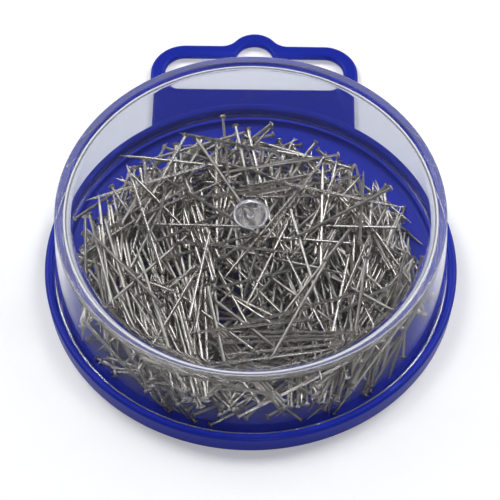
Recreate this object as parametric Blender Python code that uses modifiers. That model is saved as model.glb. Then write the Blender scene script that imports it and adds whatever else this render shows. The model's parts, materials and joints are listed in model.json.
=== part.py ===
"""A round pin box: a clear drum lid on a blue tray with a hang tab, and loose straight pins inside.

Run it with blender --background --python part.py, or from Blender's text editor.
Lengths are in metres and +Z is up. The origin is on the tray's axis, at the surface that it stands on,
and the hang tab points along +Y.
"""

import itertools
import math

import bmesh
import bpy
import numpy as np
from mathutils import Vector

MM = 0.001
MERGE_DISTANCE = 0.001 * MM
TURN_STEPS = 72
CHORD_ERROR = 0.03 * MM
SMOOTH_ANGLE = math.radians(35)

# Tray: a shallow dish in a raised rim, moulded in one piece with the hang tab
RIM_RADIUS = 43.0 * MM
RIM_HEIGHT = 5.0 * MM
RIM_WIDTH = 1.8 * MM
RIM_ROUND = 0.7 * MM
RIM_DRAFT = 0.5 * MM
RIM_FOOT_CHAMFER = 0.4 * MM
SEAT_HEIGHT = 3.0 * MM
SEAT_WIDTH = 2.3 * MM
FLOOR_THICKNESS = 1.6 * MM
FLOOR_FILLET = 1.0 * MM

# Hang tab: a flat bar round a wide slot, with a hump over the hook's place
TAB_WIDTH = 44.8 * MM
TAB_REACH = 17.3 * MM
TAB_THICKNESS = 1.5 * MM
TAB_LIFT = 0.3 * MM
TAB_CORNER = 7.5 * MM
TAB_ROOT_FILLET = 6.0 * MM
TAB_EDGE_ROUND = 0.5 * MM
TAB_BAR = 3.1 * MM
SLOT_DEPTH = 8.0 * MM
SLOT_FOOT_CORNER = 2.5 * MM
HUMP_RISE = 3.3 * MM
HUMP_RADIUS = 5.5 * MM
HUMP_BLEND = 4.0 * MM
HOOK_RADIUS = 4.0 * MM

# Lid: a drum with a flat top, whose foot drops inside the tray's rim
LID_HEIGHT = 20.9 * MM
LID_WALL = 1.6 * MM
LID_TOP = 1.0 * MM
LID_DRAFT = 0.7 * MM
LID_EDGE_ROUND = 0.4 * MM
LID_CORNER_FILLET = 0.6 * MM
LID_CLEARANCE = 0.3 * MM

# Moulding gate: a dimple in the middle of the lid with a nub where the sprue was cut
GATE_RADIUS = 2.4 * MM
GATE_DEPTH = 1.1 * MM
GATE_SLOPE = 0.3 * MM
GATE_WALL = 1.1 * MM
NUB_RADIUS = 0.6 * MM
NUB_HEIGHT = 0.5 * MM

# Pins: drawn wire with an upset flat head and a ground point
PIN_COUNT = 58
PIN_LENGTH = 26.0 * MM
PIN_DIAMETER = 0.65 * MM
PIN_POINT = 4.5 * MM
PIN_STEPS = 8
HEAD_DIAMETER = 1.5 * MM
HEAD_THICKNESS = 0.45 * MM
HEAD_ROUND = 0.15 * MM

# Heap: how the pins lie in the tray
HEAP_SEED = 11
HEAP_GAP = 0.15 * MM
HEAP_LEAN = 1.15
HEAP_CHOICES = 5
BALANCE_SHARE = 0.47
PROBE_STEP = 0.5 * MM

# Sizes that follow from the ones above
RIM_INNER_RADIUS = RIM_RADIUS - RIM_WIDTH
RIM_FOOT_RADIUS = RIM_RADIUS - RIM_DRAFT
TRAY_RADIUS = RIM_INNER_RADIUS - SEAT_WIDTH
TAB_SHOULDER = RIM_RADIUS + TAB_REACH
LID_FOOT = SEAT_HEIGHT + LID_CLEARANCE
LID_TOP_HEIGHT = LID_FOOT + LID_HEIGHT
LID_FOOT_RADIUS = RIM_INNER_RADIUS - LID_CLEARANCE
LID_TOP_RADIUS = LID_FOOT_RADIUS - LID_DRAFT
PIN_RADIUS = PIN_DIAMETER / 2
HEAD_RADIUS = HEAD_DIAMETER / 2
HEAP_RADIUS = TRAY_RADIUS - FLOOR_FILLET - HEAD_RADIUS
CROSSING_LIFT = HEAP_LEAN * (PIN_DIAMETER + HEAP_GAP)

# Colours of the mouldings and the plated wire
BLUE_PLASTIC = (0.022, 0.024, 0.38, 1.0)
CLEAR_PLASTIC = (0.95, 0.96, 0.98, 1.0)
NICKEL_PLATE = (0.62, 0.61, 0.58, 1.0)
POLYSTYRENE_IOR = 1.59


def clear_scene():
    """Remove every object of the scene that the script starts in."""
    for obj in list(bpy.data.objects):
        bpy.data.objects.remove(obj, do_unlink=True)


def new_collection(name):
    """A collection linked to the scene."""
    collection = bpy.data.collections.new(name)
    bpy.context.scene.collection.children.link(collection)
    return collection


def new_material(name, colour, roughness, metallic=0.0, transmission=0.0, ior=1.5):
    """A Principled BSDF material."""
    material = bpy.data.materials.new(name)
    material.use_nodes = True
    shader = material.node_tree.nodes["Principled BSDF"]
    shader.inputs["Base Color"].default_value = colour
    shader.inputs["Roughness"].default_value = roughness
    shader.inputs["Metallic"].default_value = metallic
    shader.inputs["Transmission Weight"].default_value = transmission
    shader.inputs["IOR"].default_value = ior
    material.diffuse_color = colour
    return material


def arc(centre, radius, start_degrees, end_degrees):
    """Points on a circular arc, both ends included."""
    start = math.radians(start_degrees)
    sweep = math.radians(end_degrees) - start
    chord_sweep = 2 * math.acos(1 - CHORD_ERROR / radius)
    count = max(2, math.ceil(abs(sweep) / chord_sweep))
    angles = [start + sweep * i / count for i in range(count + 1)]
    return [(centre[0] + radius * math.cos(a), centre[1] + radius * math.sin(a)) for a in angles]


def mirrored(points):
    """The same points on the other side of x = 0, in the opposite order."""
    return [(-x, y) for x, y in reversed(points)]


def evaluated_mesh(obj):
    """The object's mesh with its modifiers applied, or a curve's surface with its caps sewn on."""
    graph = bpy.context.evaluated_depsgraph_get()
    mesh = bpy.data.meshes.new_from_object(obj.evaluated_get(graph))
    work = bmesh.new()
    work.from_mesh(mesh)
    bmesh.ops.remove_doubles(work, verts=work.verts, dist=MERGE_DISTANCE)
    bmesh.ops.recalc_face_normals(work, faces=work.faces)
    work.to_mesh(mesh)
    work.free()
    return mesh


def shade_round(mesh):
    """Smooth shading that keeps the hard edges."""
    mesh.shade_smooth()
    mesh.set_sharp_from_angle(angle=SMOOTH_ANGLE)


def turned_solid(name, profile, steps, collection):
    """A solid turned about Z from (radius, height) points that run down its outer side."""
    mesh = bpy.data.meshes.new(name)
    edges = [(i, i + 1) for i in range(len(profile) - 1)]
    mesh.from_pydata([(radius, 0, height) for radius, height in profile], edges, [])
    obj = bpy.data.objects.new(name, mesh)
    collection.objects.link(obj)
    screw = obj.modifiers.new("Turn", "SCREW")
    screw.axis = "Z"
    screw.steps = steps
    screw.render_steps = steps
    screw.use_merge_vertices = True
    screw.merge_threshold = MERGE_DISTANCE
    return obj


def flat_solid(name, outlines, thickness, collection):
    """A plate between two levels either side of z = 0, from an outline and the outlines of its holes."""
    curve = bpy.data.curves.new(name, "CURVE")
    curve.dimensions = "2D"
    curve.fill_mode = "BOTH"
    curve.extrude = thickness / 2
    for outline in outlines:
        spline = curve.splines.new("POLY")
        spline.points.add(len(outline) - 1)
        for point, (x, y) in zip(spline.points, outline):
            point.co = (x, y, 0, 1)
        spline.use_cyclic_u = True
    guide = bpy.data.objects.new(name + "_outline", curve)
    collection.objects.link(guide)
    bpy.context.view_layer.update()
    obj = bpy.data.objects.new(name, evaluated_mesh(guide))
    obj.matrix_world = guide.matrix_world
    collection.objects.link(obj)
    bpy.data.objects.remove(guide, do_unlink=True)
    return obj


def tray_profile():
    """Half section of the tray, from the middle of its floor over the rim to its underside."""
    fillet = min(FLOOR_FILLET, SEAT_HEIGHT - FLOOR_THICKNESS)
    fillet_centre = (TRAY_RADIUS - fillet, FLOOR_THICKNESS + fillet)
    inner_round = (RIM_INNER_RADIUS + RIM_ROUND, RIM_HEIGHT - RIM_ROUND)
    outer_round = (RIM_RADIUS - RIM_ROUND, RIM_HEIGHT - RIM_ROUND)
    return [
        (0, FLOOR_THICKNESS),
        *arc(fillet_centre, fillet, -90, 0),
        (TRAY_RADIUS, SEAT_HEIGHT),
        (RIM_INNER_RADIUS, SEAT_HEIGHT),
        *arc(inner_round, RIM_ROUND, 180, 90),
        *arc(outer_round, RIM_ROUND, 90, 0),
        (RIM_FOOT_RADIUS, RIM_FOOT_CHAMFER),
        (RIM_FOOT_RADIUS - RIM_FOOT_CHAMFER, 0),
        (0, 0),
    ]


def tab_outline():
    """Plan of the hang tab, with its root buried in the tray's rim."""
    half_width = TAB_WIDTH / 2
    root_x = half_width + TAB_ROOT_FILLET
    root_y = math.sqrt((RIM_FOOT_RADIUS + TAB_ROOT_FILLET) ** 2 - root_x**2)
    root_angle = math.degrees(math.atan2(root_y, root_x))
    hump_y = TAB_SHOULDER + HUMP_RISE - HUMP_RADIUS
    blend_y = TAB_SHOULDER + HUMP_BLEND
    blend_x = math.sqrt((HUMP_RADIUS + HUMP_BLEND) ** 2 - (blend_y - hump_y) ** 2)
    blend_angle = math.degrees(math.atan2(blend_y - hump_y, blend_x))
    corner = (half_width - TAB_CORNER, TAB_SHOULDER - TAB_CORNER)
    right_side = [
        *arc((root_x, root_y), TAB_ROOT_FILLET, 180 + root_angle, 180),
        *arc(corner, TAB_CORNER, 0, 90),
        *arc((blend_x, blend_y), HUMP_BLEND, 270, 180 + blend_angle),
        *arc((0, hump_y), HUMP_RADIUS, blend_angle, 90)[1:-1],
    ]
    root = arc((0, 0), RIM_INNER_RADIUS, 180 - root_angle, root_angle)
    return right_side + [(0, hump_y + HUMP_RADIUS)] + mirrored(right_side) + root


def slot_outline():
    """Plan of the slot: a wide window with a round notch that centres the hook."""
    half_width = TAB_WIDTH / 2 - TAB_BAR
    top = TAB_SHOULDER - TAB_BAR
    foot = top - SLOT_DEPTH
    top_corner = TAB_CORNER - TAB_BAR
    hook_y = TAB_SHOULDER + HUMP_RISE - TAB_BAR - HOOK_RADIUS
    hook_angle = math.degrees(math.asin((top - hook_y) / HOOK_RADIUS))
    foot_centre = (half_width - SLOT_FOOT_CORNER, foot + SLOT_FOOT_CORNER)
    right_side = [
        *arc(foot_centre, SLOT_FOOT_CORNER, 270, 360),
        *arc((half_width - top_corner, top - top_corner), top_corner, 0, 90),
        *arc((0, hook_y), HOOK_RADIUS, hook_angle, 90)[:-1],
    ]
    return right_side + [(0, hook_y + HOOK_RADIUS)] + mirrored(right_side)


def make_tray(parts, helpers, material):
    """The tray with its hang tab, as one moulding."""
    tab = flat_solid("tab_blank", [tab_outline(), slot_outline()], TAB_THICKNESS, helpers)
    tab.location.z = TAB_LIFT + TAB_THICKNESS / 2
    tab.hide_render = True
    tab.display_type = "WIRE"
    bevel = tab.modifiers.new("Rounded edges", "BEVEL")
    bevel.width = TAB_EDGE_ROUND
    bevel.segments = 2
    bevel.limit_method = "ANGLE"
    bevel.angle_limit = math.radians(60)
    tray = turned_solid("tray", tray_profile(), TURN_STEPS, parts)
    union = tray.modifiers.new("Hang tab", "BOOLEAN")
    union.operation = "UNION"
    union.solver = "EXACT"
    union.object = tab
    bpy.context.view_layer.update()
    moulding = evaluated_mesh(tray)
    tray.modifiers.clear()
    tray.data = moulding
    tray.data.materials.append(material)
    shade_round(tray.data)
    return tray


def lid_profile():
    """Half section of the lid, from the gate nub over the drum's outside to its foot and back up inside."""
    gate_floor = LID_TOP_HEIGHT - GATE_DEPTH
    under = LID_TOP_HEIGHT - LID_TOP
    gate_under = gate_floor - LID_TOP
    edge = (LID_TOP_RADIUS - LID_EDGE_ROUND, LID_TOP_HEIGHT - LID_EDGE_ROUND)
    inner_radius = LID_TOP_RADIUS - LID_WALL
    corner = (inner_radius - LID_CORNER_FILLET, under - LID_CORNER_FILLET)
    return [
        (0, gate_floor + NUB_HEIGHT),
        (NUB_RADIUS, gate_floor + NUB_HEIGHT),
        (NUB_RADIUS, gate_floor),
        (GATE_RADIUS - GATE_SLOPE, gate_floor),
        (GATE_RADIUS, LID_TOP_HEIGHT),
        *arc(edge, LID_EDGE_ROUND, 90, 0),
        (LID_FOOT_RADIUS, LID_FOOT),
        (LID_FOOT_RADIUS - LID_WALL, LID_FOOT),
        *arc(corner, LID_CORNER_FILLET, 0, 90),
        (GATE_RADIUS + GATE_WALL, under),
        (GATE_RADIUS + GATE_WALL - GATE_SLOPE, gate_under),
        (0, gate_under),
    ]


def make_lid(parts, material):
    """The clear drum lid, with its origin on the axis along which it lifts."""
    lid = turned_solid("lid", lid_profile(), TURN_STEPS, parts)
    bpy.context.view_layer.update()
    moulding = evaluated_mesh(lid)
    lid.modifiers.clear()
    lid.data = moulding
    lid.data.materials.append(material)
    shade_round(lid.data)
    return lid


def pin_profile():
    """Half section of a pin that stands on its point."""
    head_under = PIN_LENGTH - HEAD_THICKNESS
    return [
        (0, PIN_LENGTH),
        (HEAD_RADIUS - HEAD_ROUND, PIN_LENGTH),
        (HEAD_RADIUS, PIN_LENGTH - HEAD_ROUND),
        (HEAD_RADIUS, head_under),
        (PIN_RADIUS, head_under),
        (PIN_RADIUS, PIN_POINT),
        (0, 0),
    ]


def distances(points, heads, tips):
    """Distance from each point to the axis of each pin, as a table of points by pins."""
    runs = tips - heads
    offsets = points[:, None] - heads
    shares = np.clip((offsets * runs).sum(axis=2) / (runs * runs).sum(axis=1), 0, 1)
    return np.linalg.norm(offsets - shares[:, :, None] * runs, axis=2)


def resting_ends(start, heading, heads, tips):
    """Head and tip of a pin laid down in plan from start along heading.

    It comes to rest on the two supports, one on each side of its balance point, that hold that point
    highest. A support is the floor under an end, or a pin that it crosses.
    """
    reach = np.array([math.cos(heading), math.sin(heading)])
    runs = tips - heads
    offsets = heads[:, :2] - start
    turns = reach[0] * runs[:, 1] - reach[1] * runs[:, 0]
    places = (offsets[:, 0] * runs[:, 1] - offsets[:, 1] * runs[:, 0]) / turns
    shares = (offsets[:, 0] * reach[1] - offsets[:, 1] * reach[0]) / turns
    heights = heads[:, 2] + shares * runs[:, 2] + CROSSING_LIFT
    crossed = (places > 0) & (places < PIN_LENGTH) & (shares > 0) & (shares < 1)
    places = np.append([0, PIN_LENGTH], places[crossed])
    heights = np.append(FLOOR_THICKNESS + HEAP_GAP + np.array([HEAD_RADIUS, PIN_RADIUS]), heights[crossed])
    balance = BALANCE_SHARE * PIN_LENGTH
    before = np.flatnonzero(places <= balance)[:, None]
    after = np.flatnonzero(places > balance)
    slopes = (heights[after] - heights[before]) / (places[after] - places[before])
    held = heights[before] + slopes * (balance - places[before])
    along = np.array([*reach, slopes.flat[held.argmax()]])
    along /= np.linalg.norm(along)
    middle = np.array([*(start + reach * balance), held.max()])
    return middle - along * balance, middle + along * (PIN_LENGTH - balance)


def lies_free(head, tip, heads, tips):
    """Whether a pin stays inside the tray and clear of the pins already there."""
    if max(np.hypot(*head[:2]), np.hypot(*tip[:2])) > HEAP_RADIUS:
        return False
    if len(heads) == 0:
        return True
    count = math.ceil(PIN_LENGTH / PROBE_STEP)
    probes = head + (tip - head) * np.linspace(0, 1, count + 1)[:, None]
    shanks_clear = distances(probes, heads, tips).min() >= PIN_DIAMETER + HEAP_GAP
    own_head_clear = distances(head[None], heads, tips).min() >= HEAD_RADIUS + PIN_RADIUS + HEAP_GAP
    their_heads = distances(heads, head[None], tip[None]).min()
    head_pairs = np.linalg.norm(heads - head, axis=1).min()
    heads_clear = their_heads >= HEAD_RADIUS + PIN_RADIUS + HEAP_GAP and head_pairs >= HEAD_DIAMETER + HEAP_GAP
    return shanks_clear and own_head_clear and heads_clear


def free_places(draw, heads, tips):
    """Head and tip of a pin in one free place after another, tried at random."""
    while True:
        bearing, heading = draw.uniform(0, 2 * math.pi, 2)
        distance = HEAP_RADIUS * math.sqrt(draw.uniform())
        start = distance * np.array([math.cos(bearing), math.sin(bearing)])
        head, tip = resting_ends(start, heading, heads, tips)
        if lies_free(head, tip, heads, tips):
            yield head, tip


def settle_heap():
    """Heads and tips of the pins, laid down one after another in the lowest of a few free places."""
    draw = np.random.default_rng(HEAP_SEED)
    heads, tips = np.empty((0, 3)), np.empty((0, 3))
    for _ in range(PIN_COUNT):
        places = itertools.islice(free_places(draw, heads, tips), HEAP_CHOICES)
        head, tip = min(places, key=lambda ends: ends[0][2] + ends[1][2])
        heads, tips = np.vstack([heads, head]), np.vstack([tips, tip])
    return heads, tips


def make_pins(parts, helpers, material):
    """One object for each pin, all of one mesh, as they lie in the tray."""
    blank = turned_solid("pin_blank", pin_profile(), PIN_STEPS, helpers)
    bpy.context.view_layer.update()
    mesh = evaluated_mesh(blank)
    mesh.name = "pin"
    mesh.materials.append(material)
    shade_round(mesh)
    bpy.data.objects.remove(blank, do_unlink=True)
    pins = []
    for number, (head, tip) in enumerate(zip(*settle_heap()), start=1):
        pin = bpy.data.objects.new(f"pin_{number:02d}", mesh)
        pin.rotation_mode = "QUATERNION"
        pin.rotation_quaternion = Vector(head - tip).to_track_quat("Z", "Y")
        pin.location = tip
        parts.objects.link(pin)
        pins.append(pin)
    return pins


def main():
    """Build the pin box."""
    clear_scene()
    parts = new_collection("pin_box")
    helpers = new_collection("helpers")
    blue = new_material("blue_polypropylene", BLUE_PLASTIC, roughness=0.35)
    clear = new_material("clear_polystyrene", CLEAR_PLASTIC, 0.04, transmission=1.0, ior=POLYSTYRENE_IOR)
    nickel = new_material("nickel_plated_steel", NICKEL_PLATE, roughness=0.25, metallic=1.0)
    origin = bpy.data.objects.new("pin_box_origin", None)
    parts.objects.link(origin)
    pieces = [make_tray(parts, helpers, blue), make_lid(parts, clear), *make_pins(parts, helpers, nickel)]
    for piece in pieces:
        piece.parent = origin


main()
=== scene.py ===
"""Looks of a round pin box: a clear drum lid on a blue tray with a hang tab, full of loose straight pins.

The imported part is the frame. Finer meshes stand for its tray, lid and pins at the same places and sizes, and
the rest of the heap is poured over the frame's pins. Lengths are in metres, +Z is up, and the hang tab
points along +Y.
"""

import json
import logging
import math
from collections.abc import Mapping, Sequence
from dataclasses import dataclass
from enum import Enum
from typing import Any

import bmesh
import bpy
import numpy as np
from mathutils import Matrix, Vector

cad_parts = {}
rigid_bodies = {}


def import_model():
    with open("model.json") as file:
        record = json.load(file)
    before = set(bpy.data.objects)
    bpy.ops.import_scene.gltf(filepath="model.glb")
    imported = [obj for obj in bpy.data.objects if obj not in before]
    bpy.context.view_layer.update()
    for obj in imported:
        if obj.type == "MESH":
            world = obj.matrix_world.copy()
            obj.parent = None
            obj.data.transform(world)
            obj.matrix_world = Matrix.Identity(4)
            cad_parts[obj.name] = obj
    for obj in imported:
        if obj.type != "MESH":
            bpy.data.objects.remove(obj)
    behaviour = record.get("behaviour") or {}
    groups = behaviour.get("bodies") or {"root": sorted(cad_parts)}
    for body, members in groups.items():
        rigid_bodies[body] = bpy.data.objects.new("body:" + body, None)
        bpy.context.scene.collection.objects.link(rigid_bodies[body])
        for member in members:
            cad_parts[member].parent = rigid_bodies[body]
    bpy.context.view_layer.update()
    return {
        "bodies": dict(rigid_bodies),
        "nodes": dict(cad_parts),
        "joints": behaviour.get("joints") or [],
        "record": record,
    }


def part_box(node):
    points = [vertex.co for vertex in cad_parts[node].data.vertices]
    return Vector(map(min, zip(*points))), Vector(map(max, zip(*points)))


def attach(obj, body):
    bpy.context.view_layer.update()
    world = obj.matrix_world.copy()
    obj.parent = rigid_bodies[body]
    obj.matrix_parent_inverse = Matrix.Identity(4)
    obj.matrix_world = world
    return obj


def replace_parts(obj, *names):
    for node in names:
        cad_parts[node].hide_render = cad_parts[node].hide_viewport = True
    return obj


LOG = logging.getLogger("pin_box")
MM = 0.001
MERGE_DISTANCE = 0.002 * MM
CHORD_ERROR = 0.004 * MM
FEWEST_ARC_STEPS = 3
FLAT_FACE_WEIGHT = 100
PICTURE_SIDE = 500
SENSOR_WIDTH = 36.0

Point = tuple[float, float]
Corner = tuple[float, float, float]


class Slot(Enum):
    """Material slots of the part's record."""

    TRAY = "blue_polypropylene"
    LID = "clear_polystyrene"
    PINS = "nickel_plated_steel"


class Body(Enum):
    """Bodies of the part that pieces ride on."""

    TRAY = "tray"
    LID = "lid"


def linear(hex_colour: str) -> tuple[float, ...]:
    """Turn an sRGB hex value into a linear colour.

    Args:
        hex_colour: A hash sign and six hex digits.

    Returns:
        Red, green, blue and an alpha of one.
    """
    channels = [int(hex_colour[i : i + 2], 16) / 255 for i in (1, 3, 5)]
    # The standard's own curve: a straight foot, then a power.
    return (*(c / 12.92 if c <= 0.04045 else ((c + 0.055) / 1.055) ** 2.4 for c in channels), 1.0)


def add_node(
    tree: bpy.types.NodeTree, kind: str, inputs: Mapping[str | int, Any] | None = None, **settings: Any
) -> bpy.types.Node:
    """Add a shader node with its settings and links.

    Args:
        tree: Node tree that takes the node.
        kind: Node type without its ShaderNode prefix.
        inputs: Values, or output sockets to link, by input name or place.
        settings: Properties of the node by name.

    Returns:
        The new node.
    """
    node = tree.nodes.new("ShaderNode" + kind)
    for name, value in settings.items():
        setattr(node, name, value)
    for key, value in (inputs or {}).items():
        if isinstance(value, bpy.types.NodeSocket):
            tree.links.new(value, node.inputs[key])
        else:
            node.inputs[key].default_value = value
    return node


def new_tree(name: str) -> tuple[bpy.types.Material, bpy.types.NodeTree]:
    """Start a material with an empty node tree.

    Args:
        name: Name of the material.

    Returns:
        The material and its node tree.
    """
    material = bpy.data.materials.new(name)
    material.use_nodes = True
    material.node_tree.nodes.clear()
    return material, material.node_tree


def arc_steps(sweep: float, radius: float) -> int:
    """Count the straight steps that follow an arc closely.

    Args:
        sweep: Angle of the arc in radians.
        radius: Radius of the arc.

    Returns:
        The count.
    """
    return max(FEWEST_ARC_STEPS, math.ceil(abs(sweep) / (2 * math.acos(1 - CHORD_ERROR / radius))))


def rounded_path(corners: Sequence[Corner]) -> list[Point]:
    """Trace a path whose corners are rounded.

    Args:
        corners: Two coordinates and a radius for each corner, in order. The ends have no radius.

    Returns:
        Points along the path.
    """
    path = []
    for before, corner, after in zip([corners[0], *corners], corners, [*corners[1:], corners[-1]]):
        point, radius = Vector(corner[:2]), corner[2]
        if radius == 0:
            path.append(tuple(point))
            continue
        back = (Vector(before[:2]) - point).normalized()
        onward = (Vector(after[:2]) - point).normalized()
        half = back.angle(onward) / 2
        centre = point + (back + onward).normalized() * radius / math.sin(half)
        start = point + back * radius / math.tan(half) - centre
        sweep = math.copysign(math.pi - 2 * half, back.cross(onward) * -1)
        steps = arc_steps(sweep, radius)
        for step in range(steps + 1):
            angle = sweep * step / steps
            turned = Vector((
                start.x * math.cos(angle) - start.y * math.sin(angle),
                start.x * math.sin(angle) + start.y * math.cos(angle),
            ))
            path.append(tuple(centre + turned))
    return path


def arc(centre: Point, radius: float, start_degrees: float, end_degrees: float) -> list[Point]:
    """Trace a circular arc.

    Args:
        centre: Centre of the arc.
        radius: Radius of the arc.
        start_degrees: Where it starts.
        end_degrees: Where it ends.

    Returns:
        Points along the arc, both ends included.
    """
    start, end = math.radians(start_degrees), math.radians(end_degrees)
    steps = arc_steps(end - start, radius)
    angles = [start + (end - start) * i / steps for i in range(steps + 1)]
    return [(centre[0] + radius * math.cos(a), centre[1] + radius * math.sin(a)) for a in angles]


def mirrored(points: Sequence[Point]) -> list[Point]:
    """The same points on the other side of x = 0, in the opposite order."""
    return [(-x, y) for x, y in reversed(points)]


def sewn(mesh: bpy.types.Mesh) -> bpy.types.Mesh:
    """Merge a mesh's doubled points and turn its faces outwards.

    Args:
        mesh: Mesh to sew, which is changed.

    Returns:
        The same mesh.
    """
    work = bmesh.new()
    work.from_mesh(mesh)
    bmesh.ops.remove_doubles(work, verts=work.verts, dist=MERGE_DISTANCE)
    bmesh.ops.recalc_face_normals(work, faces=work.faces)
    work.to_mesh(mesh)
    work.free()
    return mesh


def turned_mesh(name: str, profile: Sequence[Point], steps: int) -> bpy.types.Mesh:
    """Turn a half section about Z.

    Args:
        name: Name of the mesh.
        profile: Radius and height of points from axis to axis.
        steps: Sides of the turned surface.

    Returns:
        A closed mesh.
    """
    work = bmesh.new()
    points = [work.verts.new((radius, 0, height)) for radius, height in profile]
    edges = [work.edges.new(pair) for pair in zip(points, points[1:])]
    bmesh.ops.spin(
        work, geom=points + edges, cent=(0, 0, 0), axis=(0, 0, 1), dvec=(0, 0, 0), angle=math.tau,
        steps=steps, use_merge=False, use_normal_flip=False, use_duplicate=False,
    )
    mesh = bpy.data.meshes.new(name)
    work.to_mesh(mesh)
    work.free()
    return sewn(mesh)


def shade(mesh: bpy.types.Mesh, sharp_degrees: float) -> None:
    """Shade a mesh smooth, apart from its sharp edges.

    Args:
        mesh: Mesh to shade.
        sharp_degrees: Angle from which an edge stays sharp.
    """
    mesh.shade_smooth()
    mesh.set_sharp_from_angle(angle=math.radians(sharp_degrees))


def keep_flats(piece: bpy.types.Object) -> None:
    """Weight a piece's normals by area, so that flat faces look flat beside small rounds.

    Args:
        piece: Piece whose normals are weighted.
    """
    weighted = piece.modifiers.new("Flat faces stay flat", "WEIGHTED_NORMAL")
    weighted.keep_sharp = True
    weighted.weight = FLAT_FACE_WEIGHT


def add_piece(
    name: str, mesh: bpy.types.Mesh, material: bpy.types.Material, body: Body
) -> bpy.types.Object:
    """Put a piece in the scene and tie it to the frame.

    Args:
        name: Name of the piece.
        mesh: Its mesh, in the frame's place.
        material: Its finish.
        body: Body that it rides on.

    Returns:
        The piece.
    """
    piece = bpy.data.objects.new(name, mesh)
    bpy.context.scene.collection.objects.link(piece)
    mesh.materials.clear()
    mesh.materials.append(material)
    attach(piece, body.value)
    return piece


@dataclass(frozen=True)
class MouldedPolypropylene:
    """Blue polypropylene from a spark-eroded mould: half-glossy and waxy, with a painted highlight on its
    sharp edges.

    The mould's real grain is too fine for the picture, so it is drawn coarser, at the width of grain.
    """

    colour: str = "#122294"
    flow_colour: str = "#192ba4"
    edge_highlight_colour: str = "#283cb0"
    roughness: float = 0.36
    ior: float = 1.49
    specular: float = 0.15
    gloss_below: float = 0.06
    gloss_above: float = 0.08
    edge_highlight_from: float = 0.51
    edge_highlight_to: float = 0.6
    flow: float = 14 * MM
    grain: float = 0.35 * MM
    grain_depth: float = 0.02 * MM
    grain_strength: float = 0.08

    def material(self) -> bpy.types.Material:
        """Build the node material.

        Returns:
            The material.
        """
        material, tree = new_tree("blue_polypropylene_moulded")
        place = add_node(tree, "TexCoord").outputs["Object"]
        flow = add_node(tree, "TexNoise", {"Vector": place, "Scale": 1 / self.flow, "Detail": 3.0})
        grain = add_node(tree, "TexNoise", {"Vector": place, "Scale": 1 / self.grain, "Detail": 2.0})
        body = add_node(
            tree, "Mix",
            {0: flow.outputs["Fac"], 6: linear(self.colour), 7: linear(self.flow_colour)},
            data_type="RGBA",
        )
        # Convex edges are painted paler, as a painted highlight along them.
        pointed = add_node(tree, "NewGeometry").outputs["Pointiness"]
        edges = add_node(
            tree, "MapRange",
            {"Value": pointed, "From Min": self.edge_highlight_from, "From Max": self.edge_highlight_to},
        )
        with_edge_highlight = add_node(
            tree, "Mix",
            {0: edges.outputs["Result"], 6: body.outputs[2], 7: linear(self.edge_highlight_colour)},
            data_type="RGBA",
        )
        gloss = add_node(
            tree, "MapRange",
            {"Value": grain.outputs["Fac"], "To Min": self.roughness - self.gloss_below,
             "To Max": self.roughness + self.gloss_above},
        )
        bump = add_node(
            tree, "Bump",
            {"Height": grain.outputs["Fac"], "Strength": self.grain_strength, "Distance": self.grain_depth},
        )
        shader = add_node(
            tree, "BsdfPrincipled",
            {
                "Base Color": with_edge_highlight.outputs[2],
                "Roughness": gloss.outputs["Result"],
                "IOR": self.ior,
                "Specular IOR Level": self.specular,
                "Normal": bump.outputs["Normal"],
            },
        )
        add_node(tree, "OutputMaterial", {"Surface": shader.outputs["BSDF"]})
        return material


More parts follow.
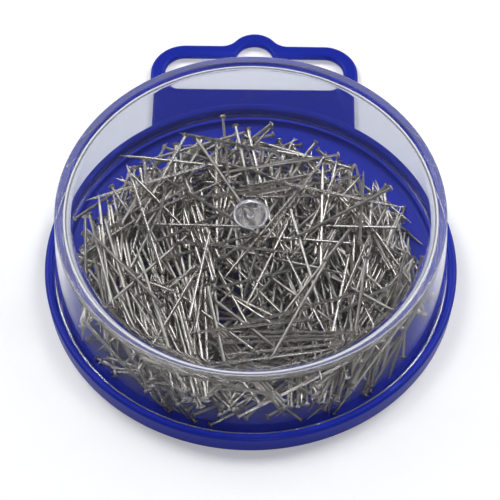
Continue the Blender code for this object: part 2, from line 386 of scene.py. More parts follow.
@dataclass(frozen=True)
class ClearPolystyrene:
    """Clear polystyrene from a polished mould: glassy, faintly wavy and scuffed, with a painted highlight on
    its top edge.

    Its gate is frosted. Its mirror image is toned down, because the white floor would veil the pins.
    """

    colour: str = "#e2e4ea"
    shadow_colour: str = "#f2f3f6"
    roughness: float = 0.015
    ior: float = 1.57
    gleam: float = 0.2
    gleam_low: float = 0.2
    gleam_high: float = 0.5
    wave: float = 9 * MM
    wave_depth: float = 0.2 * MM
    wave_strength: float = 0.05
    scuff: float = 2.5 * MM
    scuff_from: float = 0.45
    scuff_to: float = 0.75
    scuff_haze: float = 0.05
    haze_and_highlight_colour: str = "#f0f0fa"
    bloom: float = 0.006
    top_edge_highlight: float = 0.15
    top_edge_highlight_radius: float = 38.9 * MM
    top_edge_highlight_height: float = 23.6 * MM
    top_edge_highlight_fade: float = 0.7 * MM
    gate_bloom: float = 0.035
    gate_frost: float = 0.15
    gate_reach: float = 3.7 * MM
    gate_fade: float = 0.37 * MM

    def glass(
        self, tree: bpy.types.NodeTree, roughness: bpy.types.NodeSocket, normal: bpy.types.NodeSocket
    ) -> bpy.types.NodeSocket:
        """Mix glass that keeps all of its total reflection, but only a share of its mirror image elsewhere.

        Args:
            tree: Node tree that takes the nodes.
            roughness: Roughness over the surface.
            normal: Normal over the surface.

        Returns:
            The mixed shader.
        """
        mirror = add_node(
            tree, "BsdfPrincipled",
            {
                "Base Color": linear(self.colour),
                "Roughness": roughness,
                "IOR": self.ior,
                "Transmission Weight": 1.0,
                "Normal": normal,
            },
        )
        # Principled glass tints light by the root of its colour at each of a wall's two faces, as this does.
        clear = add_node(
            tree, "BsdfRefraction",
            {
                "Color": tuple(math.sqrt(share) for share in linear(self.colour)),
                "Roughness": roughness,
                "IOR": self.ior,
                "Normal": normal,
            },
        )
        fresnel = add_node(tree, "Fresnel", {"IOR": self.ior})
        gleam = add_node(
            tree, "MapRange",
            {"Value": fresnel.outputs["Fac"], "From Min": self.gleam_low, "From Max": self.gleam_high,
             "To Min": self.gleam, "To Max": 1.0},
        )
        mixed = add_node(
            tree, "MixShader",
            {0: gleam.outputs["Result"], 1: clear.outputs["BSDF"], 2: mirror.outputs["BSDF"]},
        )
        return mixed.outputs["Shader"]

    def haze_and_highlight_share(
        self,
        tree: bpy.types.NodeTree,
        radius: bpy.types.NodeSocket,
        height: bpy.types.NodeSocket,
        gate: bpy.types.NodeSocket,
    ) -> bpy.types.NodeSocket:
        """Work out how white it is: a faint haze all over, a painted highlight along the top edge, and the
        gate.

        Args:
            tree: Node tree that takes the nodes.
            radius: Distance from the lid's axis.
            height: Height over the floor.
            gate: One at the gate and nought elsewhere.

        Returns:
            The share of white.
        """
        out = add_node(
            tree, "MapRange",
            {"Value": radius, "From Min": self.top_edge_highlight_radius - self.top_edge_highlight_fade,
             "From Max": self.top_edge_highlight_radius},
            interpolation_type="SMOOTHSTEP",
        )
        up = add_node(
            tree, "MapRange",
            {"Value": height, "From Min": self.top_edge_highlight_height - self.top_edge_highlight_fade,
             "From Max": self.top_edge_highlight_height},
            interpolation_type="SMOOTHSTEP",
        )
        # The top edge gets a painted highlight: white where the radius and the height both reach the top edge.
        edge = add_node(
            tree, "Math", {0: out.outputs["Result"], 1: up.outputs["Result"]}, operation="MULTIPLY"
        )
        with_edge_highlight = add_node(
            tree, "Math",
            {0: edge.outputs["Value"], 1: self.top_edge_highlight, 2: self.bloom},
            operation="MULTIPLY_ADD",
        )
        share = add_node(
            tree, "Math", {0: gate, 1: self.gate_bloom, 2: with_edge_highlight.outputs["Value"]}, operation="MULTIPLY_ADD"
        )
        return share.outputs["Value"]

    def material(self) -> bpy.types.Material:
        """Build the node material, which lets the lamps' light through to the pins.

        Returns:
            The material.
        """
        material, tree = new_tree("clear_polystyrene_moulded")
        place = add_node(tree, "TexCoord").outputs["Object"]
        wave = add_node(tree, "TexNoise", {"Vector": place, "Scale": 1 / self.wave, "Detail": 1.0})
        scuff = add_node(tree, "TexNoise", {"Vector": place, "Scale": 1 / self.scuff, "Detail": 6.0})
        haze = add_node(
            tree, "MapRange",
            {"Value": scuff.outputs["Fac"], "From Min": self.scuff_from, "From Max": self.scuff_to,
             "To Min": self.roughness, "To Max": self.roughness + self.scuff_haze},
        )
        parts = add_node(tree, "SeparateXYZ", {"Vector": place})
        across = add_node(
            tree, "CombineXYZ", {"X": parts.outputs["X"], "Y": parts.outputs["Y"]}
        )
        radius = add_node(
            tree, "VectorMath", {0: across.outputs["Vector"]}, operation="LENGTH"
        ).outputs["Value"]
        gate = add_node(
            tree, "MapRange",
            {"Value": radius, "From Min": self.gate_reach, "From Max": self.gate_reach - self.gate_fade},
            interpolation_type="SMOOTHSTEP",
        ).outputs["Result"]
        frost = add_node(
            tree, "Math", {0: gate, 1: self.gate_frost, 2: haze.outputs["Result"]}, operation="MULTIPLY_ADD"
        )
        bump = add_node(
            tree, "Bump",
            {"Height": wave.outputs["Fac"], "Strength": self.wave_strength, "Distance": self.wave_depth},
        )
        scatter = add_node(tree, "BsdfDiffuse", {"Color": linear(self.haze_and_highlight_colour)})
        hazed_and_highlit = add_node(
            tree, "MixShader",
            {
                0: self.haze_and_highlight_share(tree, radius, parts.outputs["Z"], gate),
                1: self.glass(tree, frost.outputs["Value"], bump.outputs["Normal"]),
                2: scatter.outputs["BSDF"],
            },
        )
        through = add_node(tree, "BsdfTransparent", {"Color": linear(self.shadow_colour)})
        mixed = add_node(
            tree, "MixShader",
            {
                0: add_node(tree, "LightPath").outputs["Is Shadow Ray"],
                1: hazed_and_highlit.outputs["Shader"],
                2: through.outputs["BSDF"],
            },
        )
        add_node(tree, "OutputMaterial", {"Surface": mixed.outputs["Shader"]})
        return material


@dataclass(frozen=True)
class NickelPlatedWire:
    """Bright nickel over drawn steel wire: a warm grey metal, with a duller pin here and there."""

    colour: str = "#c6c0b4"
    dull_colour: str = "#8a8478"
    roughness: float = 0.23
    dulling: float = 0.2
    mottle: float = 1.6 * MM

    def material(self) -> bpy.types.Material:
        """Build the node material, whose tone changes from pin to pin.

        Returns:
            The material.
        """
        material, tree = new_tree("nickel_plated_steel_wire")
        place = add_node(tree, "TexCoord").outputs["Object"]
        mottle = add_node(tree, "TexNoise", {"Vector": place, "Scale": 1 / self.mottle, "Detail": 4.0})
        tone = add_node(tree, "Attribute", attribute_name=PinHeap.TONE)
        dulled = add_node(
            tree, "Math", {0: tone.outputs["Fac"], 1: mottle.outputs["Fac"]}, operation="MULTIPLY"
        )
        colour = add_node(
            tree, "Mix",
            {0: dulled.outputs["Value"], 6: linear(self.colour), 7: linear(self.dull_colour)},
            data_type="RGBA",
        )
        gloss = add_node(
            tree, "MapRange",
            {"Value": dulled.outputs["Value"], "To Min": self.roughness,
             "To Max": self.roughness + self.dulling},
        )
        shader = add_node(
            tree, "BsdfPrincipled",
            {"Base Color": colour.outputs[2], "Metallic": 1.0, "Roughness": gloss.outputs["Result"]},
        )
        add_node(tree, "OutputMaterial", {"Surface": shader.outputs["BSDF"]})
        return material


@dataclass(frozen=True)
class StudioPaper:
    """White paper under the box: matt, and bright enough to meet the picture's white."""

    colour: str = "#ececec"
    glow: float = 0.27
    roughness: float = 0.9
    fibre: float = 3 * MM
    fibre_depth: float = 0.05 * MM
    fibre_strength: float = 0.02

    def material(self) -> bpy.types.Material:
        """Build the node material, which keeps the shadow of the box.

        Returns:
            The material.
        """
        material, tree = new_tree("white_paper")
        place = add_node(tree, "TexCoord").outputs["Object"]
        fibre = add_node(tree, "TexNoise", {"Vector": place, "Scale": 1 / self.fibre, "Detail": 3.0})
        bump = add_node(
            tree, "Bump",
            {"Height": fibre.outputs["Fac"], "Strength": self.fibre_strength, "Distance": self.fibre_depth},
        )
        paper = add_node(
            tree, "BsdfPrincipled",
            {
                "Base Color": linear(self.colour),
                "Roughness": self.roughness,
                "Normal": bump.outputs["Normal"],
            },
        )
        rays = add_node(tree, "LightPath").outputs
        seen = add_node(
            tree, "Math", {0: rays["Is Camera Ray"], 1: rays["Is Glossy Ray"]}, operation="MAXIMUM"
        )
        seen = add_node(
            tree, "Math", {0: seen.outputs["Value"], 1: rays["Is Transmission Ray"]}, operation="MAXIMUM"
        )
        strength = add_node(tree, "Math", {0: seen.outputs["Value"], 1: self.glow}, operation="MULTIPLY")
        glow = add_node(tree, "Emission", {"Strength": strength.outputs["Value"]})
        both = add_node(tree, "AddShader", {0: paper.outputs["BSDF"], 1: glow.outputs["Emission"]})
        add_node(tree, "OutputMaterial", {"Surface": both.outputs["Shader"]})
        return material


@dataclass
class Tray:
    """Blue tray: a shallow dish with a ledge for the lid, a raised rim and a hang tab, moulded in one."""

    rim_radius: float
    tab_top: float
    rim_height: float
    steps: int = 288
    rim_width: float = 1.8 * MM
    rim_round: float = 0.7 * MM
    rim_draft: float = 0.5 * MM
    foot_round: float = 0.5 * MM
    seat_height: float = 3.0 * MM
    seat_width: float = 2.3 * MM
    seat_round: float = 0.2 * MM
    floor_thickness: float = 1.6 * MM
    floor_fillet: float = 1.0 * MM
    tab_width: float = 44.8 * MM
    tab_thickness: float = 1.5 * MM
    tab_lift: float = 0.3 * MM
    tab_corner: float = 7.5 * MM
    tab_root_fillet: float = 6.0 * MM
    tab_round: float = 0.65 * MM
    tab_bar: float = 3.1 * MM
    slot_depth: float = 8.0 * MM
    slot_foot_corner: float = 2.5 * MM
    hump_rise: float = 3.3 * MM
    hump_radius: float = 5.5 * MM
    hump_blend: float = 4.0 * MM
    hook_radius: float = 4.0 * MM
    tab_round_steps: int = 4
    sharp_degrees: float = 38

    @classmethod
    def from_frame(cls) -> "Tray":
        """Take the overall sizes from the frame's tray."""
        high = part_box("tray")[1]
        return cls(rim_radius=high.x, tab_top=high.y, rim_height=high.z)

    @property
    def inner_radius(self) -> float:
        """Radius of the dish inside the ledge."""
        return self.rim_radius - self.rim_width - self.seat_width

    @property
    def tab_shoulder(self) -> float:
        """Where the tab ends either side of its hump."""
        return self.tab_top - self.hump_rise

    def section(self) -> list[Point]:
        """Trace the half section from the middle of the floor over the rim to the underside.

        Returns:
            Radius and height of its points.
        """
        rim_inner = self.rim_radius - self.rim_width
        return rounded_path([
            (0, self.floor_thickness, 0),
            (self.inner_radius, self.floor_thickness, self.floor_fillet),
            (self.inner_radius, self.seat_height, self.seat_round),
            (rim_inner, self.seat_height, self.seat_round),
            (rim_inner, self.rim_height, self.rim_round),
            (self.rim_radius, self.rim_height, self.rim_round),
            (self.rim_radius - self.rim_draft, 0, self.foot_round),
            (0, 0, 0),
        ])

    def tab_outline(self) -> list[Point]:
        """Trace the plan of the tab, with its root buried in the rim.

        Returns:
            Points round the tab.
        """
        half_width = self.tab_width / 2
        root_x = half_width + self.tab_root_fillet
        foot_radius = self.rim_radius - self.rim_draft
        root_y = math.sqrt((foot_radius + self.tab_root_fillet) ** 2 - root_x**2)
        root_angle = math.degrees(math.atan2(root_y, root_x))
        hump_y = self.tab_top - self.hump_radius
        blend_y = self.tab_shoulder + self.hump_blend
        blend_x = math.sqrt((self.hump_radius + self.hump_blend) ** 2 - (blend_y - hump_y) ** 2)
        blend_angle = math.degrees(math.atan2(blend_y - hump_y, blend_x))
        corner = (half_width - self.tab_corner, self.tab_shoulder - self.tab_corner)
        right_side = [
            *arc((root_x, root_y), self.tab_root_fillet, 180 + root_angle, 180),
            *arc(corner, self.tab_corner, 0, 90),
            *arc((blend_x, blend_y), self.hump_blend, 270, 180 + blend_angle),
            *arc((0, hump_y), self.hump_radius, blend_angle, 90)[1:-1],
        ]
        root = arc((0, 0), self.rim_radius - self.rim_width, 180 - root_angle, root_angle)
        return right_side + [(0, self.tab_top)] + mirrored(right_side) + root

    def slot_outline(self) -> list[Point]:
        """Trace the plan of the slot: a wide window with a round notch that centres the hook.

        Returns:
            Points round the slot.
        """
        half_width = self.tab_width / 2 - self.tab_bar
        top = self.tab_shoulder - self.tab_bar
        foot = top - self.slot_depth
        top_corner = self.tab_corner - self.tab_bar
        hook_y = self.tab_top - self.tab_bar - self.hook_radius
        hook_angle = math.degrees(math.asin((top - hook_y) / self.hook_radius))
        foot_centre = (half_width - self.slot_foot_corner, foot + self.slot_foot_corner)
        right_side = [
            *arc(foot_centre, self.slot_foot_corner, 270, 360),
            *arc((half_width - top_corner, top - top_corner), top_corner, 0, 90),
            *arc((0, hook_y), self.hook_radius, hook_angle, 90)[:-1],
        ]
        return right_side + [(0, hook_y + self.hook_radius)] + mirrored(right_side)

    def tab_blank(self) -> bpy.types.Object:
        """Cut the tab from its outlines, with rounded edges, ready to be joined to the dish.

        Returns:
            The tab as an object outside the scene's pieces.
        """
        curve = bpy.data.curves.new("tab_outline", "CURVE")
        curve.dimensions = "2D"
        curve.fill_mode = "BOTH"
        curve.extrude = self.tab_thickness / 2 - self.tab_round
        curve.bevel_depth = self.tab_round
        curve.bevel_resolution = self.tab_round_steps
        curve.offset = -self.tab_round
        for outline in (self.tab_outline(), self.slot_outline()):
            spline = curve.splines.new("POLY")
            spline.points.add(len(outline) - 1)
            for point, (x, y) in zip(spline.points, outline):
                point.co = (x, y, 0, 1)
            spline.use_cyclic_u = True
        guide = bpy.data.objects.new("tab_outline", curve)
        bpy.context.scene.collection.objects.link(guide)
        bpy.context.view_layer.update()
        graph = bpy.context.evaluated_depsgraph_get()
        mesh = sewn(bpy.data.meshes.new_from_object(guide.evaluated_get(graph)))
        bpy.data.objects.remove(guide, do_unlink=True)
        blank = bpy.data.objects.new("tab_blank", mesh)
        blank.location.z = self.tab_lift + self.tab_thickness / 2
        bpy.context.scene.collection.objects.link(blank)
        return blank

    def mesh(self) -> bpy.types.Mesh:
        """Join the turned dish and the tab.

        Returns:
            The mesh of the whole moulding.
        """
        blank = self.tab_blank()
        dish = bpy.data.objects.new("dish_blank", turned_mesh("dish_blank", self.section(), self.steps))
        bpy.context.scene.collection.objects.link(dish)
        union = dish.modifiers.new("Hang tab", "BOOLEAN")
        union.operation = "UNION"
        union.solver = "EXACT"
        union.object = blank
        bpy.context.view_layer.update()
        graph = bpy.context.evaluated_depsgraph_get()
        mesh = sewn(bpy.data.meshes.new_from_object(dish.evaluated_get(graph)))
        mesh.name = "tray_moulding"
        for helper in (blank, dish):
            bpy.data.objects.remove(helper, do_unlink=True)
        return mesh

    def build(self) -> bpy.types.Object:
        """Build the tray and dress it.

        Returns:
            The piece that stands for the frame's tray.
        """
        mesh = self.mesh()
        shade(mesh, self.sharp_degrees)
        piece = add_piece("tray_moulding", mesh, MouldedPolypropylene().material(), Body.TRAY)
        keep_flats(piece)
        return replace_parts(piece, "tray")


@dataclass
class Lid:
    """Clear drum lid with a flat top, a foot that drops inside the tray's rim, and a gate dimple."""

    foot: float
    top: float
    foot_radius: float
    steps: int = 288
    wall: float = 1.6 * MM
    top_thickness: float = 1.0 * MM
    draft: float = 0.7 * MM
    edge_round: float = 0.5 * MM
    corner_fillet: float = 2.0 * MM
    break_edge: float = 0.12 * MM
    gate_radius: float = 2.4 * MM
    gate_depth: float = 1.1 * MM
    gate_slope: float = 0.3 * MM
    gate_wall: float = 1.1 * MM
    gate_round: float = 0.3 * MM
    nub_radius: float = 0.6 * MM
    nub_height: float = 0.5 * MM
    sharp_degrees: float = 30

    @classmethod
    def from_frame(cls) -> "Lid":
        """Take the overall sizes from the frame's lid."""
        low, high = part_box("lid")
        return cls(foot=low.z, top=high.z, foot_radius=high.x)

    def section(self) -> list[Point]:
        """Trace the half section from the gate's nub over the outside to the foot, and back inside.

        Returns:
            Radius and height of its points.
        """
        top_radius = self.foot_radius - self.draft
        under = self.top - self.top_thickness
        gate_floor = self.top - self.gate_depth
        gate_under = gate_floor - self.top_thickness
        under_gate_radius = self.gate_radius + self.gate_wall
        return rounded_path([
            (0, gate_floor + self.nub_height, 0),
            (self.nub_radius, gate_floor + self.nub_height, self.break_edge),
            (self.nub_radius, gate_floor, self.break_edge),
            (self.gate_radius - self.gate_slope, gate_floor, self.gate_round),
            (self.gate_radius, self.top, self.break_edge),
            (top_radius, self.top, self.edge_round),
            (self.foot_radius, self.foot, self.break_edge),
            (self.foot_radius - self.wall, self.foot, self.break_edge),
            (top_radius - self.wall, under, self.corner_fillet),
            (under_gate_radius, under, self.gate_round),
            (under_gate_radius - self.gate_slope, gate_under, self.gate_round),
            (0, gate_under, 0),
        ])

    def build(self) -> bpy.types.Object:
        """Build the lid and dress it.

        Returns:
            The piece that stands for the frame's lid.
        """
        mesh = turned_mesh("lid_moulding", self.section(), self.steps)
        shade(mesh, self.sharp_degrees)
        piece = add_piece("lid_moulding", mesh, ClearPolystyrene().material(), Body.LID)
        keep_flats(piece)
        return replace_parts(piece, "lid")


@dataclass
class PinHeap:
    """Loose pins: those of the frame at their places, and the rest of the heap poured on top of them.

    Rigid bodies settle the heap. They are worked out in millimetres, so that the solver's tolerances stay
    small beside the wire.
    """

    TONE = "pin_tone"
    # Shares of the head's radius and of its dome's height, on the curve of the dome.
    DOME_CURVE = (0.5, 0.3)
    # Shares of the wire's radius and of the point's length, along the taper.
    TAPER_CURVE = ((0.72, 0.5), (0.3, 0.12))

    floor: float
    room: float
    ceiling: float
    heads: np.ndarray
    tips: np.ndarray
    length: float
    names: list[str]
    count: int = 770
    seed: int = 3
    wire: float = 0.65 * MM
    head_width: float = 1.5 * MM
    head_thickness: float = 0.45 * MM
    head_dome: float = 0.12 * MM
    head_round: float = 0.15 * MM
    point: float = 4.5 * MM
    sides: int = 12
    batch: int = 150
    ring_radius: float = 33.0 * MM
    ring_stretch: float = 1.07
    ring_shift: Point = (0.0, -5.0 * MM)
    pour_radius: float = 13.0 * MM
    pour_low: float = 9.0 * MM
    pour_high: float = 190.0 * MM
    combed: float = 0.85
    comb_spread: float = 0.4
    fan_reach: float = 60.0 * MM
    tilt_spread: float = 0.2
    slip: float = 0.2
    grip: float = 0.5
    damping: float = 0.25
    pull: float = 0.5
    pour_frames: int = 36
    rest_frames: int = 14
    substeps: int = 30
    iterations: int = 12
    rod_sides: int = 8
    wall_sides: int = 48
    wall_lap: float = 1.3
    wall_thickness: float = 4.0 * MM
    sharp_degrees: float = 50

    @classmethod
    def from_frame(cls, nodes: Mapping[str, bpy.types.Object], tray: Tray, lid: Lid) -> "PinHeap":
        """Read the frame's pins, and take the room for the others from the tray and the lid.

        Args:
            nodes: Nodes of the frame.
            tray: Tray that holds the heap.
            lid: Lid over the heap.

        Returns:
            The heap, with the frame's pins in it.
        """
        names = sorted(name for name in nodes if name.startswith("pin_"))
        heads, tips = [], []
        for name in names:
            points = np.array([vertex.co for vertex in nodes[name].data.vertices])
            middle = points.mean(axis=0)
            tip = points[np.linalg.norm(points - middle, axis=1).argmax()]
            along = (middle - tip) / np.linalg.norm(middle - tip)
            heads.append(tip + along * ((points - tip) @ along).max())
            tips.append(tip)
        heads, tips = np.array(heads), np.array(tips)
        length = float(np.linalg.norm(heads - tips, axis=1).mean())
        room = tray.inner_radius - tray.floor_fillet
        ceiling = lid.top - lid.top_thickness - lid.gate_depth - cls.head_width / 2
        return cls(tray.floor_thickness, room, ceiling, heads, tips, length, names)

    def poured(self) -> tuple[np.ndarray, np.ndarray]:
        """Draw the places that the loose pins fall from.

        Most of them fan out from a point in front, as pins do that slid into the box from a hand.

        Returns:
            Heads and tips, one a row.
        """
        draw = np.random.default_rng(self.seed)
        count = self.count - len(self.heads)
        combed = draw.uniform(size=count) < self.combed
        bearings = draw.uniform(0, math.tau, count)
        reaches = self.pour_radius * np.sqrt(draw.uniform(size=count))
        middles = np.stack([
            self.ring_shift[0] + reaches * np.cos(bearings),
            self.ring_shift[1] + reaches * np.sin(bearings),
            np.linspace(self.pour_low, self.pour_high, count),
        ], axis=1)
        fan = np.arctan2(middles[:, 1] + self.fan_reach, middles[:, 0])
        headings = np.where(
            combed, fan + draw.normal(size=count) * self.comb_spread, draw.uniform(0, math.tau, count)
        )
        # Half of the heads point the other way.
        headings += np.where(draw.uniform(size=count) < 0.5, math.pi, 0)
        tilts = draw.normal(size=count) * self.tilt_spread
        alongs = np.stack([
            np.cos(headings) * np.cos(tilts), np.sin(headings) * np.cos(tilts), np.sin(tilts)
        ], axis=1)
        return middles - alongs * self.length / 2, middles + alongs * self.length / 2

    def rods(self, heads: np.ndarray, tips: np.ndarray) -> list[bpy.types.Object]:
        """Lay out rods for the solver, in millimetres.

        Args:
            heads: Heads of the pins.
            tips: Tips of the pins.

        Returns:
            One object for each pin.
        """
        mesh = bpy.data.meshes.new("rod")
        work = bmesh.new()
        radius = self.wire / 2 / MM
        bmesh.ops.create_cone(
            work, cap_ends=True, segments=self.rod_sides, radius1=radius, radius2=radius,
            depth=self.length / MM,
        )
        work.to_mesh(mesh)
        work.free()
        rods = []
        for head, tip in zip(heads, tips):
            rod = bpy.data.objects.new("rod", mesh)
            rod.rotation_mode = "QUATERNION"
            rod.rotation_quaternion = Vector(head - tip).to_track_quat("Z", "Y")
            rod.location = (head + tip) / 2 / MM
            rods.append(rod)
        return rods

    def walls(self, radius: float, stretch: float, shift: Point) -> list[bpy.types.Object]:
        """Set blocks round a space for pins and under it, in millimetres, for the solver.

        Args:
            radius: Radius of the space.
            stretch: How many times wider than deep it is.
            shift: Place of its axis.

        Returns:
            The blocks.
        """
        room, high, thick = radius / MM, self.pour_high * 2 / MM, self.wall_thickness / MM
        floor_side = room * 3
        mesh = bpy.data.meshes.new("block")
        work = bmesh.new()
        bmesh.ops.create_cube(work, size=1)
        work.to_mesh(mesh)
        work.free()
        floor = bpy.data.objects.new("block", mesh)
        floor.scale = (floor_side, floor_side, thick)
        floor.location.z = self.floor / MM - thick / 2
        blocks = [floor]
        for number in range(self.wall_sides):
            turn = math.tau * number / self.wall_sides
            block = bpy.data.objects.new("block", mesh)
            block.scale = (thick, room * math.tau / self.wall_sides * self.wall_lap, high)
            block.location = Vector((math.cos(turn) * stretch, math.sin(turn), 0)) * (room + thick / 2)
            block.location += Vector((shift[0] / MM, shift[1] / MM, high / 2))
            block.rotation_euler.z = turn
            blocks.append(block)
        return blocks

    def solve(
        self,
        loose: list[bpy.types.Object],
        fixed: list[bpy.types.Object],
        blocks: list[bpy.types.Object],
        friction: float,
        frames: int,
    ) -> None:
        """Let the loose rods fall and come to rest, and leave them there.

        Args:
            loose: Rods that fall.
            fixed: Rods that stay.
            blocks: Blocks round the rods and under them.
            friction: Friction of all of them.
            frames: How many frames to run.
        """
        scene = bpy.context.scene
        bpy.ops.rigidbody.world_add()
        world = scene.rigidbody_world
        world.collection = bpy.data.collections.new("heap_bodies")
        scene.collection.children.link(world.collection)
        world.substeps_per_frame = self.substeps
        world.solver_iterations = self.iterations
        gravity = scene.gravity.copy()
        scene.gravity = (0, 0, -self.pull / MM)
        groups = (loose, "ACTIVE", "CAPSULE"), (fixed, "PASSIVE", "CAPSULE"), (blocks, "PASSIVE", "BOX")
        for bodies, kind, shape in groups:
            for body in bodies:
                world.collection.objects.link(body)
            bpy.context.view_layer.update()
            first = bodies[0]
            with bpy.context.temp_override(selected_objects=bodies, active_object=first, object=first):
                bpy.ops.rigidbody.objects_add(type=kind)
            for body in bodies:
                solid = body.rigid_body
                solid.collision_shape = shape
                solid.friction = friction
                solid.restitution = 0
                solid.linear_damping = solid.angular_damping = self.damping
                solid.use_margin = True
                solid.collision_margin = 0
        world.point_cache.frame_end = frames
        for frame in range(scene.frame_start, frames + 1):
            scene.frame_set(frame)
        graph = bpy.context.evaluated_depsgraph_get()
        places = [rod.evaluated_get(graph).matrix_world.copy() for rod in loose]
        bpy.ops.rigidbody.world_remove()
        bpy.data.collections.remove(scene.collection.children["heap_bodies"])
        scene.gravity = gravity
        scene.frame_set(scene.frame_start)
        for rod, place in zip(loose, places):
            rod.matrix_world = place

    def settle(self) -> None:
        """Pour the loose pins through a ring over the frame's, lift the ring, and keep those that fit."""
        loose, fixed = self.rods(*self.poured()), self.rods(self.heads, self.tips)
        ring = self.walls(self.ring_radius, self.ring_stretch, self.ring_shift)
        wall = self.walls(self.room, 1.0, (0, 0))
        self.solve(loose, fixed, ring, self.slip, self.pour_frames)
        self.solve(loose, fixed, wall, self.grip, self.rest_frames)
        half = Vector((0, 0, self.length / 2 / MM))
        heads = np.array([rod.matrix_world @ half for rod in loose]) * MM
        tips = np.array([rod.matrix_world @ -half for rod in loose]) * MM
        for helper in (*loose, *fixed, *ring, *wall):
            bpy.data.objects.remove(helper, do_unlink=True)
        kept = np.maximum(heads[:, 2], tips[:, 2]) < self.ceiling
        kept &= np.maximum(np.hypot(*heads[:, :2].T), np.hypot(*tips[:, :2].T)) < self.room + self.wire
        self.heads = np.vstack([self.heads, heads[kept]])
        self.tips = np.vstack([self.tips, tips[kept]])
        LOG.info("%d pins, top of the heap %.1f mm", len(self.heads), self.heads[:, 2].max() / MM)

    def pin_section(self) -> list[Point]:
        """Trace the half section of a pin that stands on its point.

        Returns:
            Radius and height of its points.
        """
        head_radius, wire_radius = self.head_width / 2, self.wire / 2
        shoulder = self.length - self.head_thickness
        crown_reach, crown_drop = self.DOME_CURVE
        return [
            (0, self.length),
            (head_radius * crown_reach, self.length - self.head_dome * crown_drop),
            (head_radius - self.head_round, self.length - self.head_dome),
            (head_radius, self.length - self.head_dome - self.head_round),
            (head_radius - self.head_round / 2, shoulder),
            (wire_radius, shoulder - self.head_round / 2),
            (wire_radius, self.point),
            *((wire_radius * width, self.point * height) for width, height in self.TAPER_CURVE),
            (0, 0),
        ]

    def batch_mesh(self, name: str, first: int, last: int, tones: np.ndarray) -> bpy.types.Mesh:
        """Join a run of pins in one mesh.

        Args:
            name: Name of the mesh.
            first: Number of the first pin.
            last: Number after the last pin.
            tones: How dull each pin is, from nought to one.

        Returns:
            The mesh, with a tone for each point.
        """
        blank = turned_mesh("pin_blank", self.pin_section(), self.sides)
        points = np.array([vertex.co for vertex in blank.vertices])
        faces = [list(polygon.vertices) for polygon in blank.polygons]
        bpy.data.meshes.remove(blank)
        vertices, polygons = [], []
        for number in range(first, last):
            turn = Vector(self.heads[number] - self.tips[number]).to_track_quat("Z", "Y").to_matrix()
            offset = len(points) * (number - first)
            vertices.append(points @ np.array(turn).T + self.tips[number])
            polygons += [[offset + i for i in face] for face in faces]
        mesh = bpy.data.meshes.new(name)
        mesh.from_pydata(np.concatenate(vertices).tolist(), [], polygons)
        tone = mesh.attributes.new(self.TONE, "FLOAT", "POINT")
        tone.data.foreach_set("value", np.repeat(tones[first:last], len(points)).astype(np.float32))
        shade(mesh, self.sharp_degrees)
        return mesh

    def build(self) -> list[bpy.types.Object]:
        """Lay the heap and build its pins, in a few pieces.

        Returns:
            The pieces, of which the first stands for the frame's pins.
        """
        frame_count = len(self.heads)
        self.settle()
        # The square leaves most pins bright and a few dull.
        tones = np.random.default_rng(self.seed).uniform(size=len(self.heads)) ** 2
        material = NickelPlatedWire().material()
        starts = [0, *range(frame_count, len(self.heads), self.batch)]
        pieces = []
        for number, (first, last) in enumerate(zip(starts, [*starts[1:], len(self.heads)])):
            name = f"pins_{number}"
            mesh = self.batch_mesh(name, first, last, tones)
            pieces.append(add_piece(name, mesh, material, Body.TRAY))
        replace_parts(pieces[0], *self.names)
        return pieces


@dataclass(frozen=True)
class SoftLamp:
    """A square soft box that faces the pin box."""

    name: str
    azimuth: float
    elevation: float
    level: float
    distance: float = 0.95
    side: float = 0.42

    def build(self, target: Vector) -> bpy.types.Object:
        """Hang the lamp.

        Args:
            target: Point that it faces.

        Returns:
            The lamp.
        """
        data = bpy.data.lights.new(self.name, "AREA")
        data.shape = "SQUARE"
        data.size = self.side
        # A white sheet at the target that faces the lamp then shows the level.
        data.energy = self.level * math.pi**2 * self.distance**2
        lamp = bpy.data.objects.new(self.name, data)
        bpy.context.scene.collection.objects.link(lamp)
        outward = direction(self.azimuth, self.elevation)
        lamp.location = target + outward * self.distance
        lamp.rotation_euler = outward.to_track_quat("Z", "Y").to_euler()
        return lamp


def direction(azimuth: float, elevation: float) -> Vector:
    """Direction from the box, where azimuth 0 is its front and 90 its right-hand side.

    Args:
        azimuth: Degrees round from the front.
        elevation: Degrees above the floor.

    Returns:
        A unit vector.
    """
    turn, rise = math.radians(azimuth), math.radians(elevation)
    return Vector((math.sin(turn) * math.cos(rise), -math.cos(turn) * math.cos(rise), math.sin(rise)))


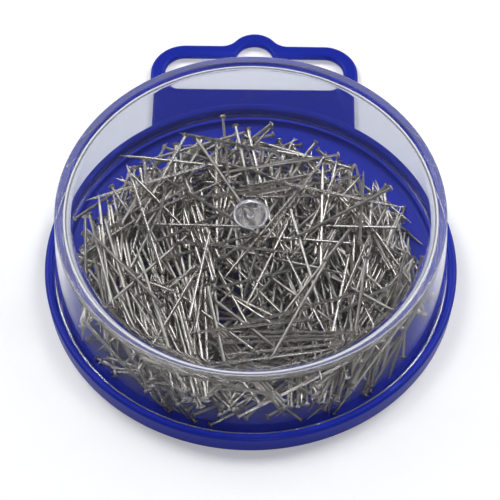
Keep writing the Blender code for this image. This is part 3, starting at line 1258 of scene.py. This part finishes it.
@dataclass
class Studio:
    """White paper, soft lamps, a pale room and the camera at the picture's place."""

    aim_height: float = 23.8 * MM
    floor_radius: float = 2.5
    floor_sides: int = 96
    lamps: tuple[SoftLamp, ...] = (
        SoftLamp("soft_box_left", -130, 48, 0.5),
        SoftLamp("soft_box_right", 130, 48, 0.5),
        SoftLamp("small_lamp_front", 8, 28, 0.16, side=0.14),
    )
    room_colour: str = "#ffffff"
    horizon_level: float = 0.4
    horizon_rise: float = 0.1
    zenith_level: float = 0.14
    zenith_rise: float = 0.65
    front_share: float = 0.4
    front_reach: float = -0.6
    back_reach: float = 0.3
    azimuth: float = 0.8
    elevation: float = 54.7
    distance: float = 0.836
    focal_pixels: float = 4087.0
    centre_pixel: Point = (250.8, 213.0)
    bounces: int = 28

    def build_floor(self) -> bpy.types.Object:
        """Lay the paper.

        Returns:
            The floor.
        """
        mesh = bpy.data.meshes.new("paper")
        work = bmesh.new()
        bmesh.ops.create_circle(work, cap_ends=True, segments=self.floor_sides, radius=self.floor_radius)
        work.to_mesh(mesh)
        work.free()
        mesh.materials.append(StudioPaper().material())
        floor = bpy.data.objects.new("paper", mesh)
        bpy.context.scene.collection.objects.link(floor)
        return floor

    def build_room(self) -> None:
        """Light the room, brighter near the floor than overhead and behind the box than in front."""
        world = bpy.data.worlds.new("pale_room")
        bpy.context.scene.world = world
        world.use_nodes = True
        tree = world.node_tree
        tree.nodes.clear()
        way = add_node(tree, "TexCoord").outputs["Generated"]
        parts = add_node(tree, "SeparateXYZ", {"Vector": way})
        level = add_node(
            tree, "MapRange",
            {"Value": parts.outputs["Z"], "From Min": self.horizon_rise, "From Max": self.zenith_rise,
             "To Min": self.horizon_level, "To Max": self.zenith_level},
            interpolation_type="SMOOTHSTEP",
        )
        back = add_node(
            tree, "MapRange",
            {"Value": parts.outputs["Y"], "From Min": self.front_reach, "From Max": self.back_reach,
             "To Min": self.front_share},
            interpolation_type="SMOOTHSTEP",
        )
        strength = add_node(
            tree, "Math", {0: level.outputs["Result"], 1: back.outputs["Result"]}, operation="MULTIPLY"
        )
        light = add_node(
            tree, "Background", {"Color": linear(self.room_colour), "Strength": strength.outputs["Value"]}
        )
        add_node(tree, "OutputWorld", {"Surface": light.outputs["Background"]})

    def build_camera(self) -> bpy.types.Object:
        """Place the camera so that the point on the axis at its aim falls on its pixel.

        Returns:
            The camera.
        """
        data = bpy.data.cameras.new("camera")
        data.sensor_width = SENSOR_WIDTH
        data.lens = self.focal_pixels / PICTURE_SIDE * SENSOR_WIDTH
        camera = bpy.data.objects.new("camera", data)
        bpy.context.scene.collection.objects.link(camera)
        outward = direction(self.azimuth, self.elevation)
        level = outward.to_track_quat("Z", "Y")
        middle = Vector((0, 0, self.aim_height))
        scale = self.distance / self.focal_pixels
        aside = [(PICTURE_SIDE / 2 - pixel) * scale for pixel in self.centre_pixel]
        aim = middle + level @ Vector((aside[0], -aside[1], 0))
        camera.location = middle + outward * self.distance
        camera.rotation_euler = (camera.location - aim).to_track_quat("Z", "Y").to_euler()
        bpy.context.scene.camera = camera
        return camera

    def build(self) -> None:
        """Build the studio."""
        self.build_floor()
        self.build_room()
        target = Vector((0, 0, self.aim_height / 2))
        for lamp in self.lamps:
            lamp.build(target)
        self.build_camera()
        scene = bpy.context.scene
        scene.cycles.max_bounces = self.bounces
        scene.cycles.transmission_bounces = self.bounces
        scene.cycles.glossy_bounces = self.bounces
        scene.view_settings.view_transform = "Standard"


def main() -> None:
    """Build the pin box on the frame and the studio round it."""
    logging.basicConfig(level=logging.INFO, format="%(name)s: %(message)s")
    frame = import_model()
    tray, lid = Tray.from_frame(), Lid.from_frame()
    heap = PinHeap.from_frame(frame["nodes"], tray, lid)
    for piece in (tray.build(), lid.build(), *heap.build()):
        LOG.info("%s: %d faces", piece.name, len(piece.data.polygons))
    Studio().build()


if __name__ == "__main__":
    main()
